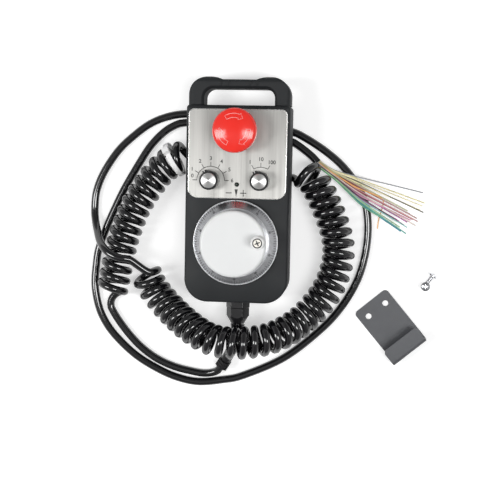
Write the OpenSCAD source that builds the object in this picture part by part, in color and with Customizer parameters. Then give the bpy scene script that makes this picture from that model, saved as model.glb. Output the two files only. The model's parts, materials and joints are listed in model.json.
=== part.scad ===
// Hand-held pulse generator pendant: an ABS handset with an emergency stop, two selector
// switches and a 100-step dial, its curly cord, and the hook bracket that it hangs from.
// The handset lies on its back with its handle towards +Y. Millimetres.

/* [Handset] */
// Width of the handset
body_w = 98; // [90:1:110]
// Length of the handset without its handle
body_l = 186; // [180:1:200]
// Thickness of the handset
body_t = 42; // [40:1:50]
// Height of the rear shell up to the parting line
rear_t = 25.6; // [24:0.2:27]
// Wall of both shells
wall = 2.5; // [2:0.1:3.2]
// Thickness of the seal between the shells
gasket_t = 0.8; // [0.5:0.1:1.2]
// Radius of the two bottom corners
bottom_r = 22; // [16:1:24]
// Radius of the two top corners
top_r = 3; // [2:0.5:5]
// Height of the handset's back above the ground, on its own cord
lift = 8.4; // [8.2:0.1:12]

/* [Handle] */
// Width of the carrying handle
handle_w = 97; // [88:1:98]
// Height of the two humps above the handset
handle_h = 27; // [24:0.5:32]
// Thickness of the handle, front to back
handle_t = 26; // [20:1:28]
// Width of the hand opening
grip_w = 67; // [60:1:70]
// Height of the hand opening
grip_h = 15.7; // [13:0.1:18]

/* [Front plate] */
// Width of the steel plate
plate_w = 92; // [86:1:92]
// Length of the steel plate
plate_l = 83; // [81:1:84]
// Thickness of the steel plate
plate_t = 1; // [0.6:0.1:1.5]
// Distance from the top of the handset to the plate
plate_gap = 4; // [3.6:0.1:5]

/* [Emergency stop] */
// Diameter of the mushroom head
stop_d = 41; // [36:1:42]
// Travel of the mushroom head
stop_travel = 5; // [4:0.5:5.5]
// Distance from the top of the handset to the button's axis
stop_y = 24.1; // [23:0.1:25]
// Diameter of the mounting barrel
barrel_d = 22; // [20:0.5:22.5]

/* [Selectors] */
// Diameter of a selector knob
knob_d = 17.5; // [16:0.5:20]
// Height of a selector knob
knob_h = 14; // [12:0.5:17]
// Diameter of a selector shaft
selector_shaft_d = 6; // [5:0.5:6.5]
// Distance from the centre line to the left selector
left_x = 24.8; // [24:0.1:27]
// Distance from the centre line to the right selector
right_x = 22.4; // [22:0.1:27]
// Distance of both selectors above the plate's lower edge
selector_up = 16.5; // [15:0.1:18]

/* [Dial] */
// Outer diameter of the dial
dial_d = 80; // [74:1:82]
// Diameter of the raised white disc
disc_d = 62; // [58:1:64]
// Height of the dial's disc above the handset's face
disc_h = 24.6; // [18:0.2:28]
// Gap between the plate and the dial
dial_gap = 1.4; // [1:0.1:3]
// Radius at which the finger knob turns
crank_r = 24.8; // [21:0.1:26]
// Direction of the finger knob at rest, in degrees
crank_a = 6; // [0:1:360]
// Diameter of the finger knob
finger_d = 12.5; // [12:0.5:14]
// Height of the finger knob
finger_h = 16; // [12:1:22]
// Diameter of the encoder's body behind the panel
encoder_d = 60; // [56:1:62]
// Diameter of the encoder's shaft
encoder_shaft_d = 8; // [6:1:9]
// Number of steps in a turn of the dial
steps = 100; // [50:50:100]

/* [Cord] */
// Diameter of the cord
cord_d = 7.6; // [6.5:0.1:7.8]
// Outer diameter of the curly stretches
coil_d = 32; // [28:1:32]
// Height of the gland's axis above the back of the handset
gland_z = 15.5; // [15:0.1:15.6]
// Size of the gland's hexagon across its flats
gland_af = 20; // [18:0.5:22]

/* [Hook bracket] */
// Width of the bracket
hook_w = 39.5; // [36:0.5:46]
// Length of the bracket's plate
hook_l = 62; // [56:1:70]
// Height of the hook
hook_h = 20; // [16:1:26]
// Length of the lip that turns back over the plate
lip_l = 17; // [12:1:22]
// Thickness of the bracket's sheet
hook_t = 2.5; // [2:0.1:3]
// Diameter of the two fixing holes
hook_hole_d = 5.8; // [4.5:0.1:6.5]
// Distance between the two fixing holes
hook_pitch = 20.8; // [18:0.2:24]
// Diameter of the fixing screws
screw_d = 4; // [3:0.5:5]
// Length of the fixing screws under the head
screw_l = 10; // [8:1:16]

/* [Hidden] */

$fn = 64;

// Clearances that the pieces share.
slip = 0.1;
running = 0.05;
gap = 0.3;

// Levels, from the ground up.
back_z = lift;
part_z = back_z + rear_t;
seal_z = part_z + gasket_t;
face_z = back_z + body_t;
inner_face_z = face_z - wall;
plate_z = face_z + plate_t;
floor_z = back_z + wall;

// Places along the handset, measured from its centre.
top_y = body_l / 2;
stop_c = [0, top_y - stop_y];
plate_end_y = top_y - plate_gap - plate_l;
left_c = [-left_x, plate_end_y + selector_up];
right_c = [right_x, plate_end_y + selector_up];
lamp_c = [0, plate_end_y + 13];
dial_c = [0, plate_end_y - dial_gap - dial_d / 2];
gland_c = [0, -body_l / 2, back_z + gland_z];

// The kit is centred over its origin.
kit_place = [-71, 23, 0];

// ---------------------------------------------------------------- outlines

// Handset outline: small corners at the top, large ones at the bottom.
module body_outline(inset = 0) {
    w = body_w / 2 - inset;
    t = top_y - inset;
    rb = bottom_r - inset;
    rt = max(top_r - inset, 0.6);
    square_between([-w, -t + rb], [w, t - rt]);
    square_between([-w + rb, -t], [w - rb, -t + rb]);
    square_between([-w + rt, t - rt], [w - rt, t]);
    for (s = [-1, 1]) {
        translate([s * (w - rb), -t + rb]) circle(rb);
        translate([s * (w - rt), t - rt]) circle(rt);
    }
}

module square_between(a, b) {
    translate(a) square(b - a);
}

// Plate with its own radius at the top and at the bottom, centred.
module plate_outline(w, l, r_top, r_bottom) {
    square_between([-w / 2, -l / 2 + r_bottom], [w / 2, l / 2 - r_top]);
    square_between([-w / 2 + r_bottom, -l / 2], [w / 2 - r_bottom, -l / 2 + r_bottom]);
    square_between([-w / 2 + r_top, l / 2 - r_top], [w / 2 - r_top, l / 2]);
    for (s = [-1, 1]) {
        translate([s * (w / 2 - r_bottom), -l / 2 + r_bottom]) circle(r_bottom);
        translate([s * (w / 2 - r_top), l / 2 - r_top]) circle(r_top);
    }
}

module slab(z0, z1) {
    translate([0, 0, z0]) linear_extrude(z1 - z0) children();
}

module at(c, z = 0) {
    translate([c[0], c[1], z]) children();
}

module tube(d_out, d_in, h) {
    difference() {
        cylinder(d = d_out, h = h);
        translate([0, 0, -1]) cylinder(d = d_in, h = h + 2);
    }
}

// Hexagon across its flats.
module hexagon(af, h) {
    cylinder(d = af / cos(30), h = h, $fn = 6);
}

// Points the Z axis along -Y, for what stands out of the bottom end.
module downwards() {
    rotate([90, 0, 0]) children();
}

// ---------------------------------------------------------------- sweeps for the cord

function unit(v) = v / norm(v);
function tangent(p, i) = unit(p[min(i + 1, len(p) - 1)] - p[max(i - 1, 0)]);
function side_of(t) = unit(cross(t, [0, 0, 1]));

// One ring of a swept tube, square to the route.
function ring(c, t, r, sides) = let (s = side_of(t), u = cross(s, t))
    [for (k = [0:sides - 1]) c + r * (cos(360 * k / sides) * s + sin(360 * k / sides) * u)];

// Catmull-Rom interpolation of a route, with n pieces between its points.
function smooth_point(a, b, c, d, u) = 0.5 * (2 * b + (c - a) * u
    + (2 * a - 5 * b + 4 * c - d) * u * u + (3 * b - a - 3 * c + d) * u * u * u);
function smooth(p, n) = let (m = len(p) - 1) [for (i = [0:m - 1], k = [0:n - 1])
    smooth_point(p[max(i - 1, 0)], p[i], p[i + 1], p[min(i + 2, m)], k / n), p[m]];

// Tube along a route; r holds one radius or one for each point.
module sweep(p, r, sides) {
    n = len(p);
    radii = is_list(r) ? r : [for (i = [0:n - 1]) r];
    points = [for (i = [0:n - 1]) each ring(p[i], tangent(p, i), radii[i], sides)];
    walls = [for (i = [0:n - 2], k = [0:sides - 1])
        let (a = i * sides + k, b = i * sides + (k + 1) % sides)
        each [[a, b, b + sides], [a, b + sides, a + sides]]];
    start = [for (k = [sides - 1:-1:0]) k];
    end = [for (k = [0:sides - 1]) (n - 1) * sides + k];
    polyhedron(points, concat(walls, [start, end]), 10);
}

// Routes of the cord, from the bend protector to its stripped end.
tail_route = [[-17.8, -162.7, 8.3], [-21, -166.8, 6.5], [-27, -169.6, 4.8], [-36, -170.8, 4],
    [-48, -169.2, 4], [-65, -165.4, 4], [-83, -158, 4], [-99, -147, 4], [-112.5, -133.5, 4],
    [-124.5, -118, 4], [-132, -105, 4], [-135.2, -97, 4], [-135.4, -91.4, 4]];
left_route = [[-127, -91, 16.3], [-124.8, -80, 16.3], [-121.2, -61, 16.3], [-114.9, -34.5, 16.3],
    [-102.6, -3, 16.3], [-85.5, 23, 16.3], [-75, 34, 17], [-65.8, 41.2, 17.8], [-56.5, 44.4, 18]];
stretch_route = [[-54.8, 45, 5.6], [-52.2, 45.2, 4.7], [-49, 43, 4.1], [-45, 36, 4.1],
    [-39, 25, 4.1], [-30, 8, 4.1], [-20, -10, 4.1], [-8, -25, 4.1], [6, -30, 4.1],
    [20, -25, 4.1], [31, -10, 4.1], [38, 8, 4.1], [43, 22, 4.1], [47.5, 30.5, 4.1],
    [52, 33, 4.1], [55.2, 32.1, 4.1]];
right_route = [[55.6, 32, 16.3], [63, 29.2, 16.3], [70, 23, 16.3], [76.4, 13, 16.3],
    [85, -4.8, 16.3], [92.3, -23.6, 16.3], [95.8, -43, 16.3], [93, -63, 16.3], [85.6, -82, 16.3],
    [74, -99, 17], [59, -114, 24], [39.5, -125, 36], [19.5, -130.5, 43], [-3, -132.4, 45.6],
    [-25.5, -129, 43], [-48, -118, 33], [-69.5, -102.5, 21], [-85, -86, 16.6], [-93, -69.5, 18.6]];
lead_route = [[-93.2, -69, 30.6], [-94.6, -63.6, 31.4], [-98.6, -58.4, 33.4], [-105.5, -55.8, 36.6],
    [-113.5, -55, 38.6], [-121.5, -52.4, 38.6], [-129.5, -47, 35.6], [-137, -40, 26],
    [-143, -30, 14], [-146.8, -20.5, 6.4], [-148.2, -9.5, 4], [-146.5, 8.5, 4],
    [-139, 27.5, 4], [-125, 48.6, 4], [-110, 63.2, 4], [-93.4, 75.6, 4], [-76.4, 82.8, 4],
    [-58, 86, 4], [-30, 85.6, 4], [10, 79, 4], [47, 70.4, 4], [60.6, 64.4, 4], [74, 56.4, 4],
    [85, 48.6, 4], [95, 40.2, 4], [104, 30.4, 4], [111.6, 20, 4], [117.4, 9, 4], [121.4, -3, 4],
    [123.4, -24, 4], [121, -49, 4], [113.8, -74, 4], [98.8, -100.6, 4], [78.8, -123.6, 4],
    [44.4, -152, 4], [4, -171.4, 4], [-16.6, -176.6, 4], [-41.4, -179.6, 4], [-64.4, -175.4, 4],
    [-85.4, -166.6, 4], [-104.4, -155.4, 4], [-121.2, -141, 4], [-133.8, -126.4, 4],
    [-142.2, -110.4, 4], [-146.4, -93.4, 4], [-147.4, -80.4, 4], [-146.2, -65, 4],
    [-144, -50, 4], [-137.4, -31, 4], [-127.8, -8.6, 4], [-116.8, 14, 4], [-98.2, 45.6, 4],
    [-89.6, 57.4, 4], [-80.4, 66.8, 4], [-70.4, 73.6, 4], [-58, 77.4, 4], [-30, 75.6, 4],
    [10, 69.2, 4], [44, 61.4, 4], [51.4, 58.6, 4], [60.6, 52.2, 4], [67.4, 46.8, 4],
    [73, 41, 4.4]];

// The bend protector leaves the gland level and sinks to the ground.
function bezier(a, b, c, d, u) = pow(1 - u, 3) * a + 3 * u * pow(1 - u, 2) * b
    + 3 * u * u * (1 - u) * c + pow(u, 3) * d;
protector_steps = 10;
protector_route = [for (i = [0:protector_steps]) bezier(gland_c + [0, -24, 0], gland_c + [0, -38, 0],
    [-6.4, -145.2, 14.8], [-12.8, -155, 11.2], i / protector_steps)];

// Ends of the cores, from the one nearest to the handle to the one farthest from it.
core_ends = [[175, 14], [177, 4], [175, 1], [176, -5], [173, -3], [161, -4], [170, -11],
    [163, -7], [132.5, -22], [171, -14], [166, -12], [169, -18], [161, -15], [164, -13], [158, -18],
    [153, -14], [161, -20], [154, -20], [160, -26], [155, -24], [151, -20]];
// One core bends back over the others.
curled_core = 8;
curl = [14, 8.5];
core_d = 1.2;
core_start = lead_route[len(lead_route) - 1];
core_heading = unit([24, -18, 0]);
// The bundle's two edges before it fans out, and where it crosses the lead.
core_neck = [[91, 33.5], [93, 22.5]];
core_waist = [[108, 29], [115.5, 1.5]];

// ---------------------------------------------------------------- shells

boss_d = 7;
screw_hole_d = 3.2;
shoulder = 6;
bevel = 2.6;
boss_places = [[-body_w / 2 + 7.5, top_y - 11], [body_w / 2 - 7.5, top_y - 11],
    [-body_w / 2 + 13.5, -top_y + 14.5], [body_w / 2 - 13.5, -top_y + 14.5]];

module rear_shell() {
    color("#1b1c1e") difference() {
        union() {
            difference() {
                union() {
                    hull() {
                        slab(back_z, back_z + 0.2) body_outline(5);
                        slab(back_z + 1.8, back_z + 2) body_outline(2);
                        slab(back_z + shoulder - 0.2, back_z + shoulder) body_outline(0.2);
                    }
                    slab(back_z + shoulder - 0.2, part_z) body_outline(0);
                }
                slab(floor_z, floor_z + shoulder) body_outline(5 + wall);
                slab(floor_z + shoulder - 3, part_z + 1) body_outline(wall);
            }
            intersection() {
                for (p = boss_places) at(p, floor_z - 0.5) cylinder(d = boss_d, h = part_z - floor_z + 0.5);
                slab(floor_z - 1, part_z) body_outline(1);
            }
            for (p = post_places) at(p, floor_z - 0.5) cylinder(d = 6, h = board_z - floor_z + 0.5);
            // Ribs across the floor.
            for (y = [-80, 62]) translate([-30, y, floor_z - 0.5]) cube([60, 2, 4]);
        }
        for (p = boss_places) at(p, back_z - 1) {
            cylinder(d = screw_hole_d, h = rear_t + 2);
            cylinder(d = 6.4, h = 5);
        }
        // Gland and handle fixings.
        translate(gland_c + [0, -1, 0]) rotate([-90, 0, 0]) cylinder(d = gland_thread_d + 2 * slip, h = 12);
        for (s = [-1, 1]) translate([s * handle_pin_x, top_y + 1, handle_pin_z])
            downwards() cylinder(d = handle_pin_d + 2 * slip, h = 12);
    }
}

module front_shell() {
    color("#1b1c1e") difference() {
        union() {
            difference() {
                union() {
                    slab(seal_z, face_z - bevel) body_outline(0);
                    hull() {
                        slab(face_z - bevel - 0.2, face_z - bevel) body_outline(0);
                        slab(face_z - 1.1, face_z - 1) body_outline(0.8);
                        slab(face_z - 0.1, face_z) body_outline(bevel);
                    }
                }
                slab(seal_z - 1, inner_face_z) body_outline(wall);
            }
            intersection() {
                for (p = boss_places) at(p, seal_z) cylinder(d = boss_d, h = face_z - 1 - seal_z);
                slab(seal_z, face_z - 1) body_outline(1);
            }
        }
        for (p = boss_places) at(p, seal_z - 1) cylinder(d = screw_hole_d, h = 10);
        at(stop_c, inner_face_z - 1) cylinder(d = barrel_d + 4 * slip, h = wall + 2);
        for (c = [left_c, right_c]) at(c, inner_face_z - 1) cylinder(d = bushing_d + 4 * slip, h = wall + 2);
        at(lamp_c, inner_face_z - 1) cylinder(d = lamp_d + 2 * slip, h = wall + 2);
        at(dial_c, inner_face_z - 1) {
            cylinder(d = encoder_d + 4 * slip, h = wall + 2);
            for (a = encoder_screw_angles) rotate(a) translate([encoder_pcd / 2, 0]) cylinder(d = 3.4, h = wall + 2);
        }
    }
}

module shell_gasket() {
    color("#3a3b3d") difference() {
        slab(part_z, seal_z) body_outline(0.4);
        slab(part_z - 1, seal_z + 1) body_outline(wall + 0.6);
    }
}

module pan_screw(d, l, head_d, head_h) {
    difference() {
        union() {
            translate([0, 0, -l]) cylinder(d = d, h = l + 0.5);
            intersection() {
                cylinder(d = head_d, h = head_h);
                translate([0, 0, head_h - head_d * 0.75]) sphere(d = head_d * 1.5);
            }
        }
        for (a = [0, 90]) rotate(a) translate([-head_d * 0.28, -0.4, head_h * 0.5]) cube([head_d * 0.56, 0.8, head_h]);
    }
}

module case_screws() {
    color("#6f7276") for (p = boss_places)
        at(p, back_z + 4) rotate([180, 0, 0]) pan_screw(3, rear_t + 2.5, 5.8, 2.2);
}

// ---------------------------------------------------------------- handle

handle_mid_z = back_z + 24;
handle_pin_d = 6;
handle_pin_x = body_w / 2 - wall - 6;
handle_pin_z = back_z + 21;
handle_mid_h = handle_h - 2.8;
handle_flat = 26;

// Arch with two humps and a lower flat between them.
module handle_outline() {
    r = 19;
    x = handle_w / 2 - r;
    square_between([-handle_w / 2, 0], [handle_w / 2, handle_h - r]);
    square_between([-x, 0], [x, handle_mid_h]);
    for (s = [-1, 1]) {
        translate([s * x, handle_h - r]) circle(r);
        // The hump falls to the flat along a shallow arc.
        intersection() {
            translate([s * (x - 1), handle_h - 30]) circle(30, $fn = 96);
            square_between(s > 0 ? [handle_flat / 2 - 3, 0] : [-x - 1, 0],
                s > 0 ? [x + 1, handle_h] : [-handle_flat / 2 + 3, handle_h]);
        }
    }
}

module grip_outline(grow = 0) {
    r = 9 + grow;
    x = grip_w / 2 + grow;
    y = grip_h + grow;
    square_between([-x, -2], [x, y - r]);
    square_between([-x + r, -2], [x - r, y]);
    for (s = [-1, 1]) translate([s * (x - r), y - r]) circle(r);
}

module carry_handle() {
    z0 = handle_mid_z - handle_t / 2;
    z1 = handle_mid_z + handle_t / 2;
    r = 6;
    color("#1b1c1e") translate([0, top_y, 0]) {
        difference() {
            intersection() {
                slab(z0, z1) handle_outline();
                // Rounds the edges along the two legs.
                translate([0, handle_h + 1, handle_mid_z]) rotate([90, 0, 0])
                    linear_extrude(handle_h + 1) plate_outline(handle_w, handle_t, r, r);
                // Rounds the edges along the top.
                translate([-handle_w, 0, handle_mid_z]) rotate([90, 0, 90])
                    linear_extrude(2 * handle_w) translate([-40 + handle_h, 0]) plate_outline(80, handle_t, r, r);
            }
            slab(z0 - 1, z1 + 1) grip_outline();
            // The opening's rim is chamfered on both faces.
            for (s = [0, 1]) hull() {
                slab(s ? z1 : z0 - 1, s ? z1 + 1 : z0) grip_outline(2.4);
                slab(s ? z1 - 2.6 : z0 + 2.5, s ? z1 - 2.5 : z0 + 2.6) grip_outline();
            }
        }
        // Pegs through the end wall of the rear shell.
        for (s = [-1, 1]) translate([s * handle_pin_x, 0.5, handle_pin_z]) downwards() difference() {
            cylinder(d = handle_pin_d, h = wall + 1.2);
            cylinder(d = 2.9, h = 20);
        }
        // Short ribs on the front of the grip bar.
        for (x = [-17, -10, 10.5, 17]) translate([x, grip_h + 2.4 + 2.2, z1 - 0.2]) hull()
            for (e = [-1.6, 1.6]) translate([e * 0.5, e]) cylinder(d = 1.1, h = 0.8, $fn = 16);
    }
}

module handle_screws() {
    color("#8c9095") for (s = [-1, 1])
        translate([s * handle_pin_x, top_y - wall - 0.7 - 0.6, handle_pin_z]) downwards() {
            translate([0, 0, -0.6]) tube(9, 3.4, 0.6);
            pan_screw(2.8, 1.4, 6, 2.2);
        }
}

// ---------------------------------------------------------------- front plate and boards

plate_c = [0, top_y - plate_gap - plate_l / 2];
bushing_d = 9;
lamp_d = 4;
gland_thread_d = 16;
encoder_pcd = 70;
encoder_screw_angles = [90, 210, 330];
board_t = 1.6;
board_z = floor_z + 4;
board_w = 70;
board_l = 53;
board_y = 2;
post_places = [for (s = [-1, 1], y = [5, board_l - 3]) [s * (board_w / 2 - 5), board_y + y]];

module face_plate() {
    color("#b9bcc0") difference() {
        at(plate_c, face_z) linear_extrude(plate_t) plate_outline(plate_w, plate_l, 5, 9);
        at(stop_c, face_z - 1) cylinder(d = barrel_d + 4 * slip, h = plate_t + 2);
        for (c = [left_c, right_c]) at(c, face_z - 1) cylinder(d = bushing_d + 4 * slip, h = plate_t + 2);
        at(lamp_c, face_z - 1) cylinder(d = lamp_d + 2 * slip, h = plate_t + 2);
    }
}

module terminal_board() {
    color("#1f5a35") difference() {
        translate([-board_w / 2, board_y, board_z]) cube([board_w, board_l, board_t]);
        for (p = post_places) at(p, board_z - 1) cylinder(d = 3, h = board_t + 2);
    }
}

module terminal_blocks() {
    color("#2f7d4c") for (y = [11, 34]) translate([-25, board_y + y, board_z + board_t]) difference() {
        cube([50, 8, 9]);
        for (i = [0:9]) translate([2.5 + 5 * i, 4, 3]) cylinder(d = 3, h = 9);
        for (i = [0:9]) translate([0.9 + 5 * i, -1, 1]) cube([3.2, 3.5, 2.6]);
    }
}

// Domed lens in a small panel lamp, with its two legs.
module indicator_lamp() {
    color("#202224") at(lamp_c) {
        translate([0, 0, inner_face_z - 5]) cylinder(d = lamp_d + 2, h = 5);
        translate([0, 0, inner_face_z]) cylinder(d = lamp_d, h = wall + plate_t + 0.4);
        translate([0, 0, plate_z + 0.4]) intersection() {
            sphere(d = lamp_d);
            cylinder(d = lamp_d, h = lamp_d);
        }
        for (s = [-1, 1]) translate([s * 1.27, 0, inner_face_z - 10]) cylinder(d = 0.6, h = 6);
    }
}

// ---------------------------------------------------------------- emergency stop

plunger_d = 16;
bezel_h = 9;
bezel_top = plate_z + bezel_h;
head_z = bezel_top + stop_travel + 1.4;
barrel_z = inner_face_z - 18;
plunger_z = barrel_z + 14;

module estop_bezel() {
    color("#26282a") at(stop_c) {
        difference() {
            union() {
                translate([0, 0, plate_z]) cylinder(d = barrel_d + 7, h = bezel_h - 1);
                translate([0, 0, plate_z + bezel_h - 1]) cylinder(d1 = barrel_d + 7, d2 = barrel_d + 5, h = 1);
                translate([0, 0, barrel_z]) cylinder(d = barrel_d, h = plate_z - barrel_z + 1);
            }
            translate([0, 0, barrel_z + 2]) cylinder(d = plunger_d + 2 * running, h = 60);
            translate([0, 0, barrel_z - 1]) cylinder(d = 6, h = 10);
        }
    }
}

module estop_panel_nut() {
    color("#9a9da1") at(stop_c, inner_face_z - 4) difference() {
        hexagon(27, 4);
        translate([0, 0, -1]) cylinder(d = barrel_d + 2 * slip, h = 6);
    }
}

// Mushroom head: a turned profile with a flared underside, a rolled edge and a domed top.
module estop_head() {
    r = stop_d / 2;
    edge = 4;
    rim = 8.8;
    dome = 54;
    // The dome runs into the rolled edge without a crease.
    dome_c = rim - sqrt(pow(dome - edge, 2) - pow(r - edge, 2));
    meet = dome * (r - edge) / (dome - edge);
    color("#c8161d") at(stop_c, head_z) difference() {
        rotate_extrude($fn = 96) difference() {
            union() {
                polygon([[0, 0], [plunger_d / 2 + 4, 0], [r - 0.8, 3.6], [r, 4.6], [r, rim],
                    [r - edge, rim + 1], [0, rim + 1]]);
                translate([r - edge, rim]) circle(edge);
                intersection() {
                    translate([0, dome_c]) circle(dome, $fn = 240);
                    square([meet, rim + 2 * edge]);
                }
            }
            translate([-200, -100]) square([200, 200]);
        }
        translate([0, 0, -1]) cylinder(d = 8 + 2 * slip, h = 6);
    }
}

module estop_plunger() {
    color("#2a2c2e") at(stop_c) {
        translate([0, 0, plunger_z]) cylinder(d = plunger_d, h = head_z - plunger_z - 0.2);
        translate([0, 0, head_z - 1]) cylinder(d = 8, h = 5.6);
        translate([0, 0, barrel_z - 0.6]) cylinder(d = 4, h = plunger_z - barrel_z + 1);
    }
}

module estop_spring() {
    wire = 1.3;
    turns = 6;
    room = plunger_z - barrel_z - 2 - 0.4;
    color("#b5b8bb") at(stop_c, barrel_z + 2 + 0.2) for (i = [0:turns - 1])
        translate([0, 0, wire / 2 + i * (room - wire) / (turns - 1)])
            rotate_extrude($fn = 32) translate([plunger_d / 2 - 1.4, 0]) circle(d = wire, $fn = 16);
}

module estop_contact_block() {
    h = 13;
    color("#d6d2c4") at(stop_c, barrel_z - h) difference() {
        union() {
            translate([-14, -10, 0]) cube([28, 20, h]);
            translate([-9, -12, 2]) cube([18, 24, h - 2]);
        }
        translate([0, 0, h - 8]) cylinder(d = 6, h = 10);
        for (s = [-1, 1]) translate([s * 11, 0, h - 5]) cylinder(d = 4.4, h = 6);
    }
}

module estop_contact_screws() {
    color("#c2a24c") for (s = [-1, 1]) at(stop_c + [s * 11, 0], barrel_z - 2.6)
        pan_screw(2.2, 2.2, 4, 1.6);
}

// ---------------------------------------------------------------- selectors

switch_h = 16;
knob_z = plate_z + 0.5;
washer_t = 0.6;
nut_t = 2;

module selector_switch(c) {
    color("#35383b") at(c) difference() {
        union() {
            translate([-12.5, -12.5, inner_face_z - switch_h]) cube([25, 25, switch_h - 2]);
            translate([0, 0, inner_face_z - 2]) cylinder(d = 20, h = 2);
            translate([0, 0, inner_face_z - 1]) cylinder(d = bushing_d, h = knob_z + 4.2 - inner_face_z);
            for (a = [0:30:330]) rotate(a) translate([9, -0.9, inner_face_z - switch_h - 3]) cube([0.6, 1.8, 3.5]);
        }
        translate([0, 0, inner_face_z - switch_h + 4]) cylinder(d = selector_shaft_d + 2 * running, h = 40);
    }
}

module selector_washers() {
    color("#c9ccd0") for (c = [left_c, right_c]) at(c, plate_z) tube(13, bushing_d + 2 * slip, washer_t);
}

module selector_nuts() {
    color("#a9acb0") for (c = [left_c, right_c]) at(c, plate_z + washer_t) difference() {
        hexagon(11.6, nut_t);
        translate([0, 0, -1]) cylinder(d = bushing_d + 2 * slip, h = nut_t + 2);
    }
}

module selector_shaft(c, a) {
    z0 = inner_face_z - switch_h + 4.3;
    color("#a9acb0") at(c) rotate(a) difference() {
        translate([0, 0, z0]) cylinder(d = selector_shaft_d, h = knob_z + knob_h - 4 - z0);
        // Flat for the set screw.
        translate([-5, selector_shaft_d / 2 - 0.8, knob_z + 5.2]) cube([10, 5, 20]);
    }
}

// Knob with a fluted skirt, hollow over the nut; it points along +Y before it is turned.
module selector_knob(c, a) {
    nut_room = 14.2;
    color("#141516") at(c, knob_z) rotate(a) difference() {
        union() {
            cylinder(d = knob_d, h = knob_h - 1);
            translate([0, 0, knob_h - 1]) cylinder(d1 = knob_d, d2 = knob_d - 1.6, h = 1);
            // Pointer on the skirt.
            translate([-1.8, knob_d / 2 - 1, 0]) cube([3.6, 2.6, knob_h - 6]);
        }
        translate([-0.5, knob_d / 2 + 0.2, knob_h - 6.4]) cube([1, 3, 1]);
        translate([0, 0, -1]) cylinder(d = nut_room, h = 4.6 + 1);
        translate([0, 0, 3]) cylinder(d = selector_shaft_d + 2 * slip, h = knob_h - 7.4 + 1);
        translate([0, 0, knob_h - 0.8]) cylinder(d = knob_d - 3.4, h = 2);
        for (k = [0:23]) rotate(k * 15 + 7.5) translate([knob_d / 2 + 0.35, 0, -1]) cylinder(d = 1.2, h = knob_h - 1, $fn = 16);
        translate([0, 0, 8]) rotate([-90, 0, 0]) cylinder(d = 3, h = 20);
    }
}

// Turned aluminium disc in the knob's top, with its pointer groove.
module selector_cap(c, a) {
    color("#c6c9cc") at(c, knob_z + knob_h - 0.8) rotate(a) difference() {
        union() {
            cylinder(d = knob_d - 3.6, h = 0.9);
            translate([0, 0, 0.9]) cylinder(d1 = knob_d - 3.6, d2 = knob_d - 4.6, h = 0.4);
        }
        translate([-0.5, 1.5, 0.8]) cube([1, knob_d, 2]);
    }
}

module set_screw(c, a) {
    color("#55585b") at(c, knob_z + 8) rotate(a) rotate([-90, 0, 0])
        translate([0, 0, selector_shaft_d / 2 - 0.8]) difference() {
            cylinder(d = 2.9, h = 4);
            translate([0, 0, 2.6]) cylinder(d = 1.5, h = 3, $fn = 6);
        }
}

// ---------------------------------------------------------------- encoder

encoder_z = back_z + 11.5;
flange_t = 1.4;
flange_z = face_z + flange_t;
hub_d = 20;
bearing_d = 16;
bearing_h = 4;
disc_z = encoder_z + 9;

module encoder_housing() {
    color("#3c3f43") at(dial_c) difference() {
        union() {
            translate([0, 0, face_z]) cylinder(d = encoder_pcd + 7, h = flange_t);
            translate([0, 0, encoder_z]) cylinder(d = encoder_d, h = face_z - encoder_z + 0.5);
        }
        translate([0, 0, encoder_z - 1]) cylinder(d = encoder_d - 5, h = inner_face_z - encoder_z - 4);
        translate([0, 0, encoder_z]) cylinder(d = bearing_d, h = 60);
        for (a = encoder_screw_angles) rotate(a) translate([encoder_pcd / 2, 0, face_z - 1]) {
            cylinder(d = 3.2, h = 5);
            translate([0, 0, 1.2]) cylinder(d = 6.2, h = 5);
        }
    }
}

module encoder_screws() {
    color("#7c8084") for (a = encoder_screw_angles) at(dial_c) rotate(a)
        translate([encoder_pcd / 2, 0, face_z + 0.2]) {
            pan_screw(3, 6, 5.8, 1);
            translate([0, 0, -0.2 - wall - 2.4]) difference() {
                hexagon(5.5, 2.4);
                translate([0, 0, -1]) cylinder(d = 3 + 2 * slip, h = 5);
            }
        }
}

module encoder_cover() {
    color("#3c3f43") at(dial_c, encoder_z - 2) difference() {
        union() {
            cylinder(d = encoder_d, h = 2);
            translate([0, 0, 2]) cylinder(d = encoder_d - 5 - 4 * slip, h = 1.5);
        }
        translate([0, 0, 1.5]) cylinder(d = encoder_d - 9, h = 5);
        translate([-9, -encoder_d / 2 + 6, -1]) cube([18, 4, 8]);
    }
}

module encoder_board() {
    color("#1f5a35") at(dial_c, encoder_z + 1.5) difference() {
        cylinder(d = encoder_d - 5 - 4 * slip, h = board_t);
        translate([0, 0, -1]) cylinder(d = 12, h = 5);
    }
    // Light gate that reads the slots of the code disc.
    color("#151617") at(dial_c) rotate(-90) translate([14, -5, encoder_z + 1.5 + board_t]) difference() {
        cube([10, 10, 9.5]);
        translate([-1, -1, disc_z - encoder_z - 1.5 - board_t - 0.6]) cube([8, 12, 1.8]);
    }
}

module encoder_bearings() {
    color("#aeb2b6") for (z = [inner_face_z - 4.8, inner_face_z - 0.4]) at(dial_c, z)
        tube(bearing_d - 2 * running, encoder_shaft_d + 2 * running, bearing_h);
}

module encoder_shaft() {
    z0 = encoder_z + 4.5;
    color("#b9bcc0") at(dial_c) difference() {
        translate([0, 0, z0]) cylinder(d = encoder_shaft_d, h = dial_z + dial_h - z0 + 6);
        translate([-6, encoder_shaft_d / 2 - 1, dial_z + 2]) cube([12, 4, 20]);
    }
}

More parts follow.
